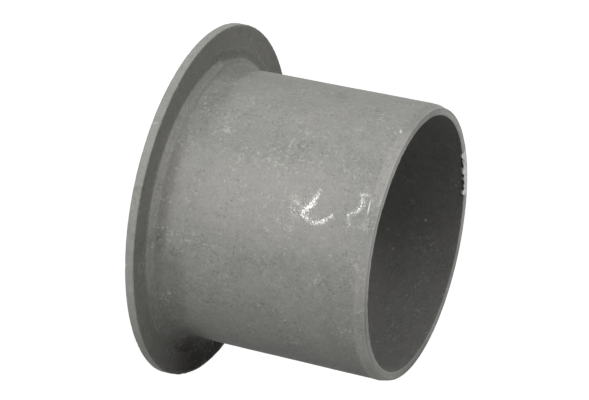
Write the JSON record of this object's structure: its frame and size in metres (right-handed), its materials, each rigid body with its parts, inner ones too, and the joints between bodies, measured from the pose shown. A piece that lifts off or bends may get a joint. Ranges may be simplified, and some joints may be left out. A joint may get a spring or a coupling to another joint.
{
  "type": "flanged leaf spring bushing",
  "caption": "Thin-walled round bush with a thin flange at one end, a stepped cove at the flange and a lead-in nose, open right through.",
  "frame": {"origin": "centre of the back face of the flange, which the bush stands on", "axes": "+Z along the axis of the bush, from the flange to the free end; X and Y lie in the flange's back face and are free to choose"},
  "size_m": [0.0786, 0.0786, 0.05],
  "materials": {
    "dull_steel": "dull grey blasted steel with fine grain, small pits and bright rubbed scuffs"
  },
  "bodies": {
    "root": {"flanged_bush": "dull_steel"}
  },
  "joints": []
}
